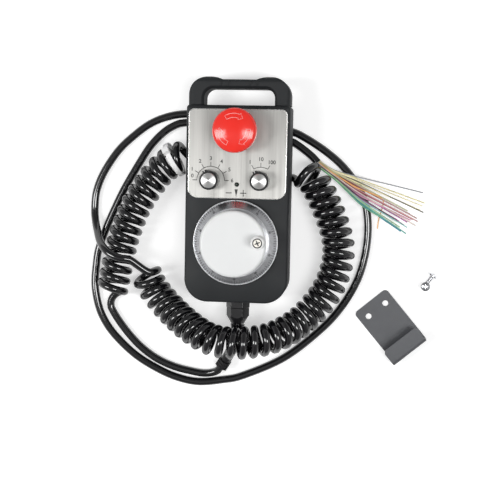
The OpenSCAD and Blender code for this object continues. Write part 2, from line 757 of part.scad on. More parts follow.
// Slotted disc: one slot for each step of the dial.
module code_disc() {
    d = 42;
    color("#c9ccd0") at(dial_c, disc_z) difference() {
        union() {
            cylinder(d = d, h = 0.6);
            translate([0, 0, -2]) cylinder(d = 14, h = 5);
        }
        translate([0, 0, -3]) cylinder(d = encoder_shaft_d + 2 * slip, h = 8);
        for (k = [0:steps - 1]) rotate(360 * k / steps) translate([d / 2 - 4.2, -0.3, -1]) cube([3, 0.6, 3]);
    }
}

// Star wheel whose teeth give the click of each step.
module detent_wheel() {
    r = 14;
    tooth = 0.4;
    color("#cdb46a") at(dial_c, disc_z + 5) difference() {
        linear_extrude(3) difference() {
            polygon([for (k = [0:2 * steps - 1])
                (r - (k % 2) * tooth) * [cos(180 * k / steps), sin(180 * k / steps)]]);
            circle(d = encoder_shaft_d + 2 * slip);
        }
        for (k = [0:5]) rotate(60 * k + 30) translate([9.2, 0, -1]) cylinder(d = 4, h = 5);
    }
}

// Leaf spring with a rounded nose that rides on the star wheel.
module detent_spring() {
    r = 14;
    color("#b8a25a") at(dial_c, disc_z + 5.2) {
        translate([-r - 1.6, 0, 0]) cylinder(d = 2, h = 2.6);
        translate([-r - 3.1, -13, 0]) cube([0.7, 26, 2.6]);
        translate([-r - 5, -1, 0]) cube([3, 2, 2.6]);
        for (s = [-1, 1]) translate([-r - 6.2, s * 12 - 1.5, -1]) cube([3.2, 3, switch_post_h]);
    }
}
switch_post_h = inner_face_z - 5 - (disc_z + 4.2);

// ---------------------------------------------------------------- dial

dial_z = flange_z + 0.6;
dial_h = 6.2;
dial_lip = 1.6;
disc_top = face_z + disc_h;

// Cone that carries the scale.
module dial_scale() {
    color("#c4c7c9") at(dial_c, dial_z) rotate_extrude($fn = 128) polygon([
        [hub_d / 2 + 2, 0], [dial_d / 2 - 1, 0], [dial_d / 2 - 1, dial_lip],
        [disc_d / 2 + 1.5, dial_h], [hub_d / 2 + 2, dial_h]]);
}

module dial_rim() {
    color("#d5d8da") at(dial_c, dial_z) difference() {
        cylinder(d = dial_d, h = dial_lip + 0.6, $fn = 128);
        translate([0, 0, -1]) cylinder(d = dial_d - 2 + 2 * slip, h = dial_h + 2, $fn = 128);
    }
}

// White disc: a drum that narrows towards the ring, with a rolled edge and a bored hub.
module dial_disc() {
    r = disc_d / 2;
    h = disc_top - dial_z - dial_h;
    edge = 3;
    color("#f1f0ec") at(dial_c, dial_z + dial_h) difference() {
        union() {
            rotate_extrude($fn = 128) union() {
                polygon([[0, 0], [r - 1.5, 0], [r, h - edge], [r - edge, h], [0, h]]);
                translate([r - edge, h - edge]) circle(edge);
            }
            translate([0, 0, -dial_h]) cylinder(d = hub_d + 3.4, h = dial_h + 1);
        }
        translate([0, 0, -dial_h - 1]) cylinder(d = encoder_shaft_d + 2 * slip, h = dial_h + 1 + 6.6);
        rotate(crank_a) translate([crank_r, 0, h - 7]) cylinder(d = pin_d + 2 * slip, h = 9);
        // Clear inside, to keep the moulding light.
        for (a = [60:60:360]) rotate(a + crank_a + 30) translate([crank_r - 4, 0, -1]) cylinder(d = 11, h = h - 2.5);
    }
}

pin_d = 5;

// Finger knob: a waisted spindle shape that turns on its own pin.
module finger_knob() {
    r = finger_d / 2;
    color("#d8d9da") at(dial_c, disc_top + gap) rotate(crank_a) translate([crank_r, 0]) difference() {
        rotate_extrude($fn = 96) difference() {
            union() {
                polygon([[0, 0], [r - 0.6, 0], [r, 0.6], [r - 0.7, finger_h * 0.45], [r, finger_h - 2],
                    [r - 2, finger_h], [0, finger_h]]);
                translate([r - 2, finger_h - 2]) circle(2);
            }
            translate([-20, -1]) square([20, 60]);
        }
        translate([0, 0, -1]) cylinder(d = pin_d + 4 * running, h = finger_h + 2);
        translate([0, 0, finger_h - 2.2]) cylinder(d = 9.2, h = 5);
    }
}

module finger_pin() {
    color("#8f9296") at(dial_c, disc_top) rotate(crank_a) translate([crank_r, 0]) difference() {
        union() {
            translate([0, 0, -6.5]) cylinder(d = pin_d, h = 6.5 + gap + finger_h - 1);
            translate([0, 0, gap + finger_h - 2]) cylinder(d = 8, h = 1.8);
        }
        for (a = [0, 90]) rotate(a + 20) translate([-2.8, -0.6, finger_h - 0.9]) cube([5.6, 1.2, 4]);
    }
}

// ---------------------------------------------------------------- cord entry

collar_h = 7.5;
nose_h = 15;

module gland_body() {
    color("#17181a") translate(gland_c) downwards() difference() {
        union() {
            hexagon(gland_af, collar_h);
            translate([0, 0, -wall - 7]) cylinder(d = gland_thread_d, h = wall + 7 + collar_h + 7);
        }
        translate([0, 0, -30]) cylinder(d = cord_d + 0.8, h = 60);
        translate([0, 0, collar_h]) cylinder(d = 12.4, h = 20);
    }
}

module gland_lock_nut() {
    color("#232527") translate(gland_c) downwards() translate([0, 0, -wall - 4.6]) difference() {
        hexagon(gland_af, 4.6);
        translate([0, 0, -1]) cylinder(d = gland_thread_d + 2 * slip, h = 8);
    }
}

module gland_seal() {
    color("#4a4c4e") translate(gland_c) downwards() translate([0, 0, collar_h + 0.2]) tube(12.2, cord_d + 2 * slip, 8);
}

module gland_dome_nut() {
    color("#17181a") translate(gland_c) downwards() translate([0, 0, collar_h + 0.3]) difference() {
        union() {
            hexagon(gland_af - 0.8, 8);
            intersection() {
                translate([0, 0, 8]) cylinder(d1 = gland_af + 1, d2 = 13, h = nose_h - 8);
                hexagon(gland_af - 0.8, nose_h);
            }
        }
        translate([0, 0, -1]) cylinder(d = gland_thread_d + 2 * slip, h = 8.9);
        translate([0, 0, -1]) cylinder(d = 9.4, h = 40);
    }
}

module cord_inlet() {
    color("#121315") translate(gland_c) downwards() translate([0, 0, -24])
        cylinder(d = cord_d, h = 24 + collar_h + nose_h + 1);
}

module bend_protector() {
    n = protector_steps;
    color("#17181a") sweep(protector_route, [for (i = [0:n]) 6.4 - 1.2 * i / n + (i == 0 ? 0.6 : 0)], 16);
}

module protector_collar() {
    a = protector_route[len(protector_route) - 1];
    t = unit(tail_route[0] - a);
    l = norm(tail_route[0] - a);
    color("#17181a") translate(a + t * 0.5) rotate([0, acos(t[2]), atan2(t[1], t[0])]) {
        for (k = [0:2]) translate([0, 0, k * 3]) hexagon(12.4, 2);
        cylinder(d = 11.6, h = l - 1);
    }
}

// ---------------------------------------------------------------- cord

module cord_tail() {
    color("#121315") sweep(smooth(tail_route, 2), cord_d / 2, 8);
}

module coil_left() {
    color("#121315") sweep(smooth(left_route, 2), coil_d / 2, 12);
}

module coil_right() {
    color("#121315") sweep(smooth(right_route, 2), coil_d / 2, 12);
}

module cord_stretch() {
    color("#121315") sweep(stretch_route, cord_d / 2, 8);
}

module cord_lead() {
    color("#121315") sweep(lead_route, cord_d / 2, 8);
}

// Cores fan out of the stripped end, over the lead, and sink to the ground.
module cord_cores() {
    over = cord_d + 2.2;
    hues = ["#7a7d80", "#c9b23a", "#5c4a2e", "#222426", "#b98a7a", "#7a5ca8", "#d8742c",
        "#3d8f4d", "#2f86a8", "#a8272b"];
    n = len(core_ends) - 1;
    for (i = [0:n]) {
        s = i / n;
        row = i % 3 - 1;
        out = (floor(i / 3) - 3) * 0.95;
        start = core_start + core_heading * 0.6 + side_of(core_heading) * out + [0, 0, row * 1.25];
        neck = core_neck[0] + s * (core_neck[1] - core_neck[0]);
        waist = core_waist[0] + s * (core_waist[1] - core_waist[0]);
        e = core_ends[i];
        bow = i == curled_core ? curl : [0, 0];
        past = waist + 0.45 * (e - waist) + bow;
        down = waist + 0.62 * (e - waist) + 0.9 * bow;
        flat = waist + 0.82 * (e - waist) + 0.35 * bow;
        color(hues[i % len(hues)]) sweep([start, start + core_heading * 8 + [0, 0, 0.8],
            [neck[0], neck[1], over - 0.6 + row], [waist[0], waist[1], over + row * 0.9],
            [past[0], past[1], 4 + 6 * s], [down[0], down[1], 2.4 + 6 * s * s],
            [flat[0], flat[1], 1.4], [e[0], e[1], core_d / 2 + 0.1]], core_d / 2, 6);
    }
}

module cable_tie() {
    c = left_route[7];
    t = unit(left_route[8] - left_route[6]);
    color("#eeeeea") translate(c) rotate([0, acos(t[2]), atan2(t[1], t[0])]) {
        translate([0, 0, -2.4]) tube(coil_d + 3, coil_d + 1.2, 4.8);
        rotate(150) translate([coil_d / 2 + 1.2, -3, -3.2]) cube([4.6, 6, 6.4]);
    }
}

// ---------------------------------------------------------------- hook bracket

hook_a = -49.6;
hook_edge = [127.2, -92.9];
hook_hole_u = 11;

// Local frame: U runs from the plate's free edge to the hook, V across it.
module in_hook() {
    at(hook_edge) rotate(hook_a) children();
}

module rounded_end(l, w, r, z0, z1) {
    slab(z0, z1) union() {
        square_between([r, -w / 2], [l, w / 2]);
        square_between([0, -w / 2 + r], [r, w / 2 - r]);
        for (s = [-1, 1]) translate([r, s * (w / 2 - r)]) circle(r);
    }
}

module hook_bracket() {
    bend = hook_t + 1;
    color("#5b6068") in_hook() difference() {
        union() {
            rounded_end(hook_l - bend, hook_w, 4, 0, hook_t);
            translate([hook_l - lip_l, 0, 0]) rounded_end(lip_l - bend, hook_w, 4, hook_h - hook_t, hook_h);
            translate([hook_l - hook_t, -hook_w / 2, bend]) cube([hook_t, hook_w, hook_h - 2 * bend]);
            for (s = [0, 1]) translate([hook_l - bend, hook_w / 2, s ? hook_h - bend : bend])
                rotate([90, 0, 0]) intersection() {
                    tube(2 * bend, 2, hook_w);
                    translate([0, s ? 0 : -bend, -1]) cube([bend, bend, hook_w + 2]);
                }
        }
        for (s = [-1, 1]) translate([hook_hole_u, s * hook_pitch / 2, -1]) cylinder(d = hook_hole_d, h = hook_t + 2);
    }
}

// One screw stands on its head and one lies on its side.
module bracket_screws() {
    head_d = 2.2 * screw_d;
    head_h = 0.7 * screw_d;
    color("#8f9396") {
        translate([180, -76, screw_l]) pan_screw(screw_d, screw_l, head_d, head_h);
        translate([186.5, -66.5, head_d / 2]) rotate([0, 90, -126]) rotate([180, 0, 0])
            pan_screw(screw_d, screw_l, head_d, head_h);
    }
}

module kit() {
    translate(kit_place) children();
}

kit() rear_shell();
kit() front_shell();
kit() shell_gasket();
kit() case_screws();
kit() carry_handle();
kit() handle_screws();
kit() face_plate();
kit() terminal_board();
kit() terminal_blocks();
kit() indicator_lamp();
kit() estop_bezel();
kit() estop_panel_nut();
kit() estop_head();
kit() estop_plunger();
kit() estop_spring();
kit() estop_contact_block();
kit() estop_contact_screws();
kit() selector_switch(left_c);  // selector_switch_left
kit() selector_switch(right_c);  // selector_switch_right
kit() selector_nuts();
kit() selector_washers();
kit() selector_shaft(left_c, 30);  // selector_shaft_left
kit() selector_shaft(right_c, 30);  // selector_shaft_right
kit() selector_knob(left_c, 30);  // selector_knob_left
kit() selector_knob(right_c, 30);  // selector_knob_right
kit() selector_cap(left_c, 30);  // selector_cap_left
kit() selector_cap(right_c, 30);  // selector_cap_right
kit() set_screw(left_c, 30);  // set_screw_left
kit() set_screw(right_c, 30);  // set_screw_right
kit() encoder_housing();
kit() encoder_screws();
kit() encoder_cover();
kit() encoder_board();
kit() encoder_bearings();
kit() encoder_shaft();
kit() code_disc();
kit() detent_wheel();
kit() detent_spring();
kit() dial_scale();
kit() dial_rim();
kit() dial_disc();
kit() finger_knob();
kit() finger_pin();
kit() gland_body();
kit() gland_lock_nut();
kit() gland_seal();
kit() gland_dome_nut();
kit() bend_protector();
kit() protector_collar();
kit() cord_inlet();
kit() cord_tail();
kit() coil_left();
kit() coil_right();
kit() cord_stretch();
kit() cord_lead();
kit() cord_cores();
kit() cable_tie();
kit() hook_bracket();
kit() bracket_screws();
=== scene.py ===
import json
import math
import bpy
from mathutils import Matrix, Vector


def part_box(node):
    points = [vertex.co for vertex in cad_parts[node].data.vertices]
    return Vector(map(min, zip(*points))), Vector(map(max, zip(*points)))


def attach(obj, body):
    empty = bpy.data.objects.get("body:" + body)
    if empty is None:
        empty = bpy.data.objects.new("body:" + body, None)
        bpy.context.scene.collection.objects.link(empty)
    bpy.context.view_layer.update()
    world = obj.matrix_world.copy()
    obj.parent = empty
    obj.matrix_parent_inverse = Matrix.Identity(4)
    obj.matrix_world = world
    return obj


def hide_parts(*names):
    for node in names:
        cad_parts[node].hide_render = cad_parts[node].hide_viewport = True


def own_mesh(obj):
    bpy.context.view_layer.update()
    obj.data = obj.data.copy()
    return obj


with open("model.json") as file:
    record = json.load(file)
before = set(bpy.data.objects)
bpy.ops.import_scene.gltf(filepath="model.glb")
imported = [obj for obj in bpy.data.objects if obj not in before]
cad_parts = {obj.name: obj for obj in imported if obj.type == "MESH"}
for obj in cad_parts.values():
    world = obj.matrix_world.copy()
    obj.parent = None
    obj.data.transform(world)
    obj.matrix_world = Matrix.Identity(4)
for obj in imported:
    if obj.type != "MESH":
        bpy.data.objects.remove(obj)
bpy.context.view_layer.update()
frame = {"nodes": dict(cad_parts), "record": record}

# %% [markdown]
# # A hand-held pulse generator on a curly cord
# The object is a pendant for setting up a machine tool: a moulded black handset with a stop button,
# two selectors and a stepped dial, on several metres of curly cord, with the hook that it hangs
# from. The machined pieces arrive finished in shape, one object for each piece. What is left for
# Blender is the cord, which is soft, the printing, the small parts that a moulder or printer adds,
# and every surface.

nodes = frame["nodes"]
mm = 0.001
centre = Vector((-0.071, 0.023, 0.0))
vertical = Vector((0, 0, 1))


def spot(x, y, z=0.0):
    return centre + Vector((x, y, z)) * mm


def new_object(name, data):
    obj = bpy.data.objects.new(name, data)
    bpy.context.scene.collection.objects.link(obj)
    return obj


def select_only(*objects):
    """Operators act on all that is selected, so each of them starts from this."""
    bpy.ops.object.select_all(action="DESELECT")
    for obj in objects:
        obj.select_set(True)
    if objects:
        bpy.context.view_layer.objects.active = objects[0]


print("The frame holds", len(nodes), "nodes.")

# %% [markdown]
# ## The camera
# It looks almost straight down from a little to the right, as one does over a table. The
# camera's axes are worked out one by one: a tracking constraint is unsure of its roll when it looks
# nearly along the vertical.

# %% Camera
camera = new_object("camera", bpy.data.cameras.new("camera"))
camera.data.lens = 77.4
camera.data.sensor_width = 36
camera.data.clip_start = 0.05
camera.data.clip_end = 20
eye = spot(126.95, 40.92, 1052.73)
backward = Vector((0.113, 0.083, 1.0)).normalized()
level = (-backward).cross(Vector((0, 1, 0))).normalized()
upward = level.cross(-backward)
roll = math.radians(1.15)
right = math.cos(roll) * level + math.sin(roll) * upward
top = math.cos(roll) * upward - math.sin(roll) * level
axes = Matrix((right, top, backward)).transposed().to_4x4()
camera.matrix_world = Matrix.Translation(eye) @ axes
bpy.context.scene.camera = camera
print("The camera stands", round(eye.z, 3), "m above the ground.")

# %% [markdown]
# ## The cord's line
# A cord has one centreline, so it is laid out first as a list of points. The plain runs are listed
# points joined by a smooth curve. The curls are a loop: a point walks along the middle of
# the coil and turns round it as it goes.

# %% Sizes of the cord
cord_d = 7.6 * mm
coil_r = 12.2 * mm
coil_pitch = 10.1 * mm
turn_points = 22

# %% Helpers for a smooth line
def placed(points, height=0.004):
    """Points in metres from the middle of the handset. One without a height gets the usual one."""
    return [centre + Vector(p if len(p) == 3 else (*p, height)) for p in points]


def smooth_line(points, step):
    """Points about one step apart on a smooth curve through the given ones."""
    line = []
    last = len(points) - 1
    for i in range(last):
        a, b, c, d = points[max(i - 1, 0)], points[i], points[i + 1], points[min(i + 2, last)]
        pieces = max(1, round((c - b).length / step))
        for k in range(pieces):
            u = k / pieces
            line.append(0.5 * (2 * b + (c - a) * u + (2 * a - 5 * b + 4 * c - d) * u ** 2
                               + (3 * b - a - 3 * c + d) * u ** 3))
    return line + [points[last]]


def bezier(a, b, c, d, u):
    return (1 - u) ** 3 * a + 3 * u * (1 - u) ** 2 * b + 3 * u * u * (1 - u) * c + u ** 3 * d


def length_of(line):
    return sum((b - a).length for a, b in zip(line, line[1:]))


# %% The curls
# The heading of the coil's middle is read over a few points and its bend over more. Turns that
# touch inside a bend are a little over a cord's thickness apart, and the inside is taken to keep at
# least a third of the pitch.
heading_reach, bend_reach = 6, 12
touching = 1.03
least_share = 0.35


def curled(axis, start, end_angle):
    """Turns round an axis line. They touch on the inside of a bend, and open on its outside."""
    fine = smooth_line(axis, 0.5 * mm)
    last = len(fine) - 1
    angle, turned, line = start, 0.0, []
    for i, c in enumerate(fine):
        t = (fine[min(i + heading_reach, last)] - fine[max(i - heading_reach, 0)]).normalized()
        side = t.cross(vertical).normalized()
        up = side.cross(t)
        if i:
            front, back = fine[min(i + bend_reach, last)], fine[max(i - bend_reach, 0)]
            turning = (front - c).normalized().angle((c - back).normalized(), 0)
            bend = turning / max((front - back).length / 2, mm)
            pitch = max(coil_pitch, touching * cord_d / max(least_share, 1 - coil_r * bend))
            turned += 2 * math.pi * (c - fine[i - 1]).length / pitch
        angle = start + turned
        line.append((c, side, up, angle))
    total = angle - start
    wanted = end_angle - start
    wanted += 2 * math.pi * round((total - wanted) / (2 * math.pi))
    stretch = wanted / total
    points, due = [], 0.0
    for c, side, up, angle in line:
        now = (angle - start) * stretch
        if now >= due:
            a = start + now
            points.append(c + coil_r * (math.cos(a) * side + math.sin(a) * up))
            due += 2 * math.pi / turn_points
    return points


# %% Joining the stretches
easing_passes = 40


def joined(stretches, reach):
    """One line from several, eased only near each joint, so that a coil keeps its size."""
    line, joints = list(stretches[0]), []
    for more in stretches[1:]:
        joints.append(len(line))
        line += more[1:] if (more[0] - line[-1]).length < mm else more
    soft = [min(abs(i - joint) for joint in joints) for i in range(len(line))]
    for _ in range(easing_passes):
        new = list(line)
        for i in range(1, len(line) - 1):
            if soft[i] <= reach:
                share = 0.5 * (1 - soft[i] / (reach + 1))
                new[i] = line[i].lerp((line[i - 1] + line[i + 1]) / 2, share)
        line = new
    return line


# %% The way out of the handset
inlet_route = placed([(0, -0.087, 0.0239), (0, -0.1, 0.0239)])
protector_steps = 10
protector_bend = (spot(0, -117, 23.9), spot(0, -131, 23.9), spot(-6.4, -145.2, 14.8),
                  spot(-12.8, -155, 11.2))
protector_route = [bezier(*protector_bend, i / protector_steps) for i in range(protector_steps + 1)]
tail_route = placed([
    (-0.0178, -0.1627, 0.0083), (-0.021, -0.1668, 0.0065), (-0.027, -0.1696, 0.0048),
    (-0.036, -0.1708), (-0.048, -0.1692), (-0.065, -0.1654), (-0.083, -0.158), (-0.099, -0.147),
    (-0.1125, -0.1335), (-0.1245, -0.118), (-0.132, -0.105), (-0.1352, -0.097),
    (-0.1354, -0.0914)])

# %% The middles of the two coils, and the pulled-out stretch under the handset
coil_height = 0.0163
left_route = placed([
    (-0.127, -0.091), (-0.1248, -0.08), (-0.1212, -0.061), (-0.1149, -0.0345), (-0.1026, -0.003),
    (-0.0855, 0.023), (-0.075, 0.034, 0.017), (-0.0658, 0.0412, 0.0178),
    (-0.0565, 0.0444, 0.018)], coil_height)
stretch_route = placed([
    (-0.0548, 0.045, 0.0056), (-0.0522, 0.0452, 0.0047), (-0.049, 0.043), (-0.045, 0.036),
    (-0.039, 0.025), (-0.03, 0.008), (-0.02, -0.01), (-0.008, -0.025), (0.006, -0.03),
    (0.02, -0.025), (0.031, -0.01), (0.038, 0.008), (0.043, 0.022), (0.0475, 0.0305),
    (0.052, 0.033), (0.0552, 0.0321)], 0.0041)
right_route = placed([
    (0.0556, 0.032), (0.063, 0.0292), (0.07, 0.023), (0.0764, 0.013), (0.085, -0.0048),
    (0.0923, -0.0236), (0.0958, -0.043), (0.093, -0.063), (0.0856, -0.082), (0.074, -0.099, 0.017),
    (0.059, -0.114, 0.024), (0.0395, -0.125, 0.036), (0.0195, -0.1305, 0.043),
    (-0.003, -0.1324, 0.0456), (-0.0255, -0.129, 0.043), (-0.048, -0.118, 0.033),
    (-0.0695, -0.1025, 0.021), (-0.085, -0.086, 0.0166), (-0.093, -0.0695, 0.0186)], coil_height)

lead_route = placed([
    (-0.0932, -0.069, 0.0306), (-0.0946, -0.0636, 0.0314), (-0.0986, -0.0584, 0.0334),
    (-0.1055, -0.0558, 0.0366), (-0.1135, -0.055, 0.0386), (-0.1215, -0.0524, 0.0386),
    (-0.1295, -0.047, 0.0356), (-0.137, -0.04, 0.026), (-0.143, -0.03, 0.014),
    (-0.1468, -0.0205, 0.0064), (-0.1482, -0.0095), (-0.1465, 0.0085), (-0.139, 0.0275),
    (-0.125, 0.0486), (-0.11, 0.0632), (-0.0934, 0.0756), (-0.0764, 0.0828), (-0.058, 0.086),
    (-0.03, 0.0856), (0.01, 0.079), (0.047, 0.0704), (0.0606, 0.0644), (0.074, 0.0564),
    (0.085, 0.0486), (0.095, 0.0402), (0.104, 0.0304), (0.1116, 0.02), (0.1174, 0.009),
    (0.1214, -0.003), (0.1234, -0.024), (0.121, -0.049), (0.1138, -0.074), (0.0988, -0.1006),
    (0.0788, -0.1236), (0.0444, -0.152), (0.004, -0.1714), (-0.0166, -0.1766),
    (-0.0414, -0.1796), (-0.0644, -0.1754), (-0.0854, -0.1666), (-0.1044, -0.1554),
    (-0.1212, -0.141), (-0.1338, -0.1264), (-0.1422, -0.1104), (-0.1464, -0.0934),
    (-0.1474, -0.0804), (-0.1462, -0.065), (-0.144, -0.05), (-0.1374, -0.031),
    (-0.1278, -0.0086), (-0.1168, 0.014), (-0.0982, 0.0456), (-0.0896, 0.0574),
    (-0.0804, 0.0668), (-0.0704, 0.0736), (-0.058, 0.0774), (-0.03, 0.0756), (0.01, 0.0692),
    (0.044, 0.0614), (0.0514, 0.0586), (0.0606, 0.0522), (0.0674, 0.0468),
    (0.073, 0.041, 0.0044)])

# %% The whole line
plain_step = 4 * mm
joint_reach = 4
low_left, down, overhead = math.radians(-117), math.radians(-90), math.radians(90)
cord_line = joined([
    smooth_line(inlet_route + protector_route + tail_route, plain_step),
    curled(left_route, low_left, down), smooth_line(stretch_route, plain_step),
    curled(right_route, down, overhead), smooth_line(lead_route, plain_step)], joint_reach)

# %% The jacket of the cord
def tubes(name, lines, diameter, roundness):
    """Round strands along lines: curves whose bevel is their thickness, made one mesh."""
    curve = bpy.data.curves.new(name, "CURVE")
    curve.dimensions = "3D"
    for line in lines:
        spline = curve.splines.new("POLY")
        spline.points.add(len(line) - 1)
        for point, place in zip(spline.points, line):
            point.co = (*place, 1)
    curve.bevel_depth = diameter / 2
    curve.bevel_resolution = roundness
    curve.use_fill_caps = True
    select_only(new_object(name, curve))
    bpy.ops.object.convert(target="MESH")
    return bpy.context.view_layer.objects.active


cord = tubes("curly_cord", [cord_line], cord_d, 6)

# %% [markdown]
# ## The cores
# Where the jacket is cut back, some twenty thin insulated cores fan out. Each is a small cord of
# its own, with a bundle near the jacket, a neck, and a free end on the ground.

# %% Ends and colours of the cores
core_d = 1.2 * mm
core_ends = [
    (0.175, 0.014), (0.177, 0.004), (0.175, 0.001), (0.176, -0.005), (0.173, -0.003),
    (0.161, -0.004), (0.17, -0.011), (0.163, -0.007), (0.1325, -0.022), (0.171, -0.014),
    (0.166, -0.012), (0.169, -0.018), (0.161, -0.015), (0.164, -0.013), (0.158, -0.018),
    (0.153, -0.014), (0.161, -0.02), (0.154, -0.02), (0.16, -0.026), (0.155, -0.024),
    (0.151, -0.02)]
core_colours = [
    (0.3, 0.31, 0.33), (0.72, 0.66, 0.36), (0.78, 0.72, 0.5), (0.12, 0.11, 0.08),
    (0.74, 0.68, 0.42), (0.5, 0.5, 0.3), (0.46, 0.28, 0.26), (0.2, 0.06, 0.06), (0.8, 0.42, 0.14),
    (0.6, 0.34, 0.34), (0.3, 0.07, 0.1), (0.7, 0.6, 0.54), (0.42, 0.16, 0.36), (0.62, 0.3, 0.4),
    (0.1, 0.06, 0.09), (0.5, 0.2, 0.42), (0.3, 0.55, 0.52), (0.42, 0.62, 0.36), (0.12, 0.4, 0.34),
    (0.05, 0.24, 0.34), (0.16, 0.4, 0.24)]
curled_core = 8
curl = Vector((0.014, 0.0085, 0))

# %% Cores
# Between its waist and its end a core sinks to the ground. Each of the three points there has its
# share of the way and its share of the curl.
jacket_end = cord_line[-1]
core_heading = Vector((24, -18, 0)).normalized()
core_side = core_heading.cross(vertical)
core_neck = [Vector((0.091, 0.0335, 0)), Vector((0.093, 0.0225, 0))]
core_waist = [Vector((0.108, 0.029, 0)), Vector((0.1155, 0.0015, 0))]
fan = ((0.45, 1), (0.62, 0.9), (0.82, 0.35))


def core_points(i):
    """One core: out of the jacket in rows of three, over the lead, and down to its end."""
    share = i / (len(core_ends) - 1)
    row = (i % 3 - 1) * mm
    out = (i // 3 - 3) * 0.95 * mm
    over = cord_d + 2.2 * mm
    start = jacket_end + core_heading * 0.6 * mm + core_side * out + Vector((0, 0, 1.25 * row))
    neck = core_neck[0].lerp(core_neck[1], share)
    waist = core_waist[0].lerp(core_waist[1], share)
    end = Vector((*core_ends[i], 0))
    bow = curl if i == curled_core else Vector()
    past, sinking, flat = (waist.lerp(end, part) + bowed * bow for part, bowed in fan)
    neck.z, waist.z = over - 0.6 * mm + row, over + 0.9 * row
    past.z, sinking.z = (4 + 6 * share) * mm, (2.4 + 6 * share ** 2) * mm
    flat.z, end.z = 1.4 * mm, 0.7 * mm
    return [start, start + core_heading * 8 * mm + Vector((0, 0, 0.8 * mm))] + [
        centre + p for p in (neck, waist, past, sinking, flat, end)]


cores = []
for i in range(len(core_ends)):
    line = smooth_line(core_points(i), 3 * mm)
    cores.append((tubes(f"core_{i + 1:02d}", [line], core_d, 2), line))
print(len(cores), "cores, about", round(1000 * length_of(cores[0][1])), "mm each.")

# %% Cords attached to the handset, and the machined cord pieces hidden
for obj in [cord] + [core for core, _ in cores]:
    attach(obj, "handset")
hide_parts("cord_inlet", "cord_tail", "coil_left", "coil_right", "cord_stretch", "cord_lead")
for core, _ in cores:
    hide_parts("cord_cores")

# %% [markdown]
# ## Finishes
# A finish is more than a colour. Each has a grain that a hand would feel: the fine spark texture of
# a moulding, the drawn lines of brushed steel, the rings of a turned face. All of it comes from
# noise in Object coordinates, which are metres here, so a scale is a number of features in a
# metre, and a height is in metres.

# %% Helpers for shader nodes
finishes = {}


def finish(name, colour, rough, metal=0.0, **sockets):
    """A surface with its plain values. Returns the material, its shader and its node tree."""
    material = bpy.data.materials.new(name)
    finishes[name] = material
    material.use_nodes = True
    tree = material.node_tree
    shader = tree.nodes["Principled BSDF"]
    shader.inputs["Base Color"].default_value = (*colour, 1)
    shader.inputs["Roughness"].default_value = rough
    shader.inputs["Metallic"].default_value = metal
    for socket, value in sockets.items():
        shader.inputs[socket].default_value = value
    return material, shader, tree


def add(tree, kind, **values):
    """A new node. Each value goes to the input of that name or, failing that, to the setting."""
    node = tree.nodes.new(kind)
    for key, value in values.items():
        if key in node.inputs:
            node.inputs[key].default_value = value
        else:
            setattr(node, key, value)
    return node


def calc(tree, operation, *values, kind="ShaderNodeMath"):
    """A sum. Its values are plain ones or the outputs of other nodes."""
    node = add(tree, kind, operation=operation)
    for socket, value in zip(node.inputs, values):
        if isinstance(value, bpy.types.NodeSocket):
            tree.links.new(value, socket)
        else:
            socket.default_value = value
    return node.outputs[0]


# %% Helpers for grain
noise_low, noise_high = 0.3, 0.7


def grain(tree, scale, detail=4.0, stretch=(1, 1, 1)):
    """Noise in the object's own metres; stretch draws it out along an axis."""
    place = add(tree, "ShaderNodeTexCoord")
    mapping = add(tree, "ShaderNodeMapping")
    mapping.inputs["Scale"].default_value = stretch
    noise = add(tree, "ShaderNodeTexNoise", Scale=scale, Detail=detail)
    tree.links.new(place.outputs["Object"], mapping.inputs["Vector"])
    tree.links.new(mapping.outputs["Vector"], noise.inputs["Vector"])
    return noise.outputs["Fac"]


def spread(tree, value, low, high):
    """Maps the middle of a noise, where nearly all of it lies, to the range from low to high."""
    change = add(tree, "ShaderNodeMapRange")
    ends = {"From Min": noise_low, "From Max": noise_high, "To Min": low, "To Max": high}
    for socket, number in ends.items():
        change.inputs[socket].default_value = number
    tree.links.new(value, change.inputs["Value"])
    return change.outputs["Result"]


def tint(tree, value, dark, light):
    """A colour that follows a noise between two shades."""
    ramp = add(tree, "ShaderNodeValToRGB")
    first, second = ramp.color_ramp.elements
    first.position, first.color = noise_low, (*dark, 1)
    second.position, second.color = noise_high, (*light, 1)
    tree.links.new(value, ramp.inputs["Fac"])
    return ramp.outputs["Color"]


def relief(tree, shader, value, height, strength=1.0, rounding=0.0):
    """Turns a noise into small hills. A rounding, in metres, eases every edge in shading."""
    bump = add(tree, "ShaderNodeBump", Strength=strength, Distance=height)
    tree.links.new(value, bump.inputs["Height"])
    if rounding:
        eased = add(tree, "ShaderNodeBevel", Radius=rounding, samples=6)
        tree.links.new(eased.outputs["Normal"], bump.inputs["Normal"])
    tree.links.new(bump.outputs["Normal"], shader.inputs["Normal"])


# %% Plastic and metal
def moulded(name, colour, rough, texture=1500, height=0.00002, swing=0.05, lift=1.25, rounding=0.0):
    """Moulded plastic: a fine texture, and patches that handling has made a little smoother."""
    material, shader, tree = finish(name, colour, rough)
    patches = grain(tree, 60, 5)
    tree.links.new(spread(tree, patches, rough - swing, rough + swing), shader.inputs["Roughness"])
    pale = tuple(min(1, c * lift) for c in colour)
    tree.links.new(tint(tree, patches, colour, pale), shader.inputs["Base Color"])
    relief(tree, shader, grain(tree, texture, 2), height, 1.0, rounding)
    return material


def turned(name, colour, rough, texture=900, height=0.00001, swing=0.06):
    """Machined or plated metal: faint tool marks and a roughness that wanders."""
    _, shader, tree = finish(name, colour, rough, 1.0)
    marks = grain(tree, texture, 6)
    smoothest = max(0.03, rough - swing)
    tree.links.new(spread(tree, marks, smoothest, rough + swing), shader.inputs["Roughness"])
    dull = tuple(c * 0.82 for c in colour)
    tree.links.new(tint(tree, grain(tree, 150, 4), dull, colour), shader.inputs["Base Color"])
    relief(tree, shader, marks, height, 0.4)


